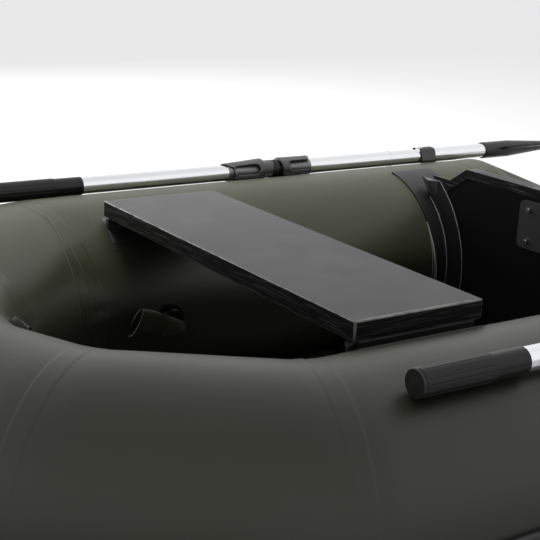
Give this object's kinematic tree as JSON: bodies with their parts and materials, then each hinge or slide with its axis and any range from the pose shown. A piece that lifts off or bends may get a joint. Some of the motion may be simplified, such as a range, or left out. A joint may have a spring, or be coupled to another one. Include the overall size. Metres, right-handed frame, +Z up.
{
  "type": "inflatable dinghy",
  "caption": "Small roll-up inflatable dinghy with plywood seat and transom, and two oars stowed along its tubes",
  "frame": {"origin": "centre of the base, on the ground under the tubes", "axes": "+X to the bow, +Y to port, +Z up"},
  "size_m": [2.104, 1.278, 0.3985],
  "materials": {
    "hull_fabric": "satin",
    "black_fabric": "satin",
    "painted_ply": "satin",
    "slat_ply": "satin",
    "edge_trim": "satin",
    "grey_plastic": "matte",
    "blade_plastic": "satin",
    "valve_plastic": "satin",
    "shaft_aluminium": "satin",
    "grip_rubber": "matte",
    "steel": "satin"
  },
  "bodies": {
    "hull": {"bow_tube": "hull_fabric", "port_tube": "hull_fabric", "starboard_tube": "hull_fabric", "port_stern_cone": "hull_fabric", "starboard_stern_cone": "hull_fabric", "tube_baffles": "hull_fabric", "floor_sheet": "black_fabric", "floor_slats": "slat_ply", "rubbing_strake": "black_fabric", "transom_board": "painted_ply", "transom_edge_trim": "edge_trim", "port_transom_holder": "black_fabric", "starboard_transom_holder": "black_fabric", "outer_motor_pad": "grey_plastic", "inner_motor_pad": "grey_plastic", "pad_bolts": "steel", "pad_nuts": "steel", "drain_bush": "valve_plastic", "seat_keders": "black_fabric", "valve_bodies": "valve_plastic", "bow_valve_spring": "steel", "port_valve_spring": "steel", "starboard_valve_spring": "steel", "side_keeper_loops": "hull_fabric", "tow_patch": "hull_fabric", "port_rowlock_base": "grey_plastic", "starboard_rowlock_base": "grey_plastic", "port_oar_keeper_clip": "grey_plastic", "starboard_oar_keeper_clip": "grey_plastic"},
    "seat": {"seat_board": "painted_ply", "seat_tracks": "blade_plastic", "track_screws": "steel"},
    "port_rowlock": {"port_rowlock_cradle": "grey_plastic"},
    "port_oar": {"port_oar_upper_shaft": "shaft_aluminium", "port_oar_lower_shaft": "shaft_aluminium", "port_oar_grip": "grip_rubber", "port_oar_blade": "blade_plastic", "port_oar_bush": "grey_plastic", "port_oar_button_spring": "steel"},
    "port_oar_button": {"port_oar_button": "grey_plastic"},
    "starboard_rowlock": {"starboard_rowlock_cradle": "grey_plastic"},
    "starboard_oar": {"starboard_oar_upper_shaft": "shaft_aluminium", "starboard_oar_lower_shaft": "shaft_aluminium", "starboard_oar_grip": "grip_rubber", "starboard_oar_blade": "blade_plastic", "starboard_oar_bush": "grey_plastic", "starboard_oar_button_spring": "steel"},
    "starboard_oar_button": {"starboard_oar_button": "grey_plastic"},
    "port_valve_cap": {"port_valve_cap": "valve_plastic"},
    "port_valve_stem": {"port_valve_stem": "valve_plastic"},
    "starboard_valve_cap": {"starboard_valve_cap": "valve_plastic"},
    "starboard_valve_stem": {"starboard_valve_stem": "valve_plastic"},
    "bow_valve_cap": {"bow_valve_cap": "valve_plastic"},
    "bow_valve_stem": {"bow_valve_stem": "valve_plastic"},
    "drain_plug": {"drain_plug": "valve_plastic"},
    "tow_ring": {"tow_ring": "steel"}
  },
  "joints": [
    {"name": "seat_slide", "type": "slide", "parent": "hull", "child": "seat", "axis": [-1, 0, 0], "range_m": [0, 0.06]},
    {"name": "port_oar_swing", "type": "hinge", "parent": "hull", "child": "port_rowlock", "pos_m": [-0.03, 0.532, 0.3622], "axis": [0, -0.2756, -0.9613], "range_deg": [0, 100]},
    {"name": "port_oar_feather", "type": "hinge", "parent": "port_rowlock", "child": "port_oar", "pos_m": [-0.03, 0.532, 0.3622], "axis": [1, 0, 0], "range_deg": [-90, 90]},
    {"name": "port_oar_button_press", "type": "slide", "parent": "port_oar", "child": "port_oar_button", "axis": [0, -0.2756, -0.9613], "range_m": [0, 0.003], "stiffness_N_per_m": 800, "deforming": ["port_oar_button_spring"]},
    {"name": "starboard_oar_swing", "type": "hinge", "parent": "hull", "child": "starboard_rowlock", "pos_m": [-0.03, -0.532, 0.3622], "axis": [0, -0.2756, 0.9613], "range_deg": [0, 100]},
    {"name": "starboard_oar_feather", "type": "hinge", "parent": "starboard_rowlock", "child": "starboard_oar", "pos_m": [-0.03, -0.532, 0.3622], "axis": [1, 0, 0], "range_deg": [-90, 90]},
    {"name": "starboard_oar_button_press", "type": "slide", "parent": "starboard_oar", "child": "starboard_oar_button", "axis": [0, 0.2756, -0.9613], "range_m": [0, 0.003], "stiffness_N_per_m": 800, "deforming": ["starboard_oar_button_spring"]},
    {"name": "port_valve_cap_turn", "type": "hinge", "parent": "hull", "child": "port_valve_cap", "pos_m": [0.338, 0.27001, 0.17371], "axis": [0, -0.9994, -0.0349], "range_deg": [0, 90]},
    {"name": "port_valve_stem_press", "type": "slide", "parent": "hull", "child": "port_valve_stem", "axis": [0, 0.9994, 0.0349], "range_m": [0, 0.0025], "stiffness_N_per_m": 400, "deforming": ["port_valve_spring"]},
    {"name": "starboard_valve_cap_turn", "type": "hinge", "parent": "hull", "child": "starboard_valve_cap", "pos_m": [0.338, -0.27001, 0.17371], "axis": [0, 0.9994, -0.0349], "range_deg": [0, 90]},
    {"name": "starboard_valve_stem_press", "type": "slide", "parent": "hull", "child": "starboard_valve_stem", "axis": [0, -0.9994, 0.0349], "range_m": [0, 0.0025], "stiffness_N_per_m": 400, "deforming": ["starboard_valve_spring"]},
    {"name": "bow_valve_cap_turn", "type": "hinge", "parent": "hull", "child": "bow_valve_cap", "pos_m": [0.72504, 0, 0.29577], "axis": [-0.766, 0, 0.6428], "range_deg": [0, 90]},
    {"name": "bow_valve_stem_press", "type": "slide", "parent": "hull", "child": "bow_valve_stem", "axis": [0.766, 0, -0.6428], "range_m": [0, 0.0025], "stiffness_N_per_m": 400, "deforming": ["bow_valve_spring"]},
    {"name": "drain_plug_pull", "type": "slide", "parent": "hull", "child": "drain_plug", "axis": [-1, 0, 0], "range_m": [0, 0.02]},
    {"name": "tow_ring_swing", "type": "hinge", "parent": "hull", "child": "tow_ring", "pos_m": [1.01585, 0, 0.28703], "axis": [0, -1, 0], "range_deg": [0, 150]}
  ]
}
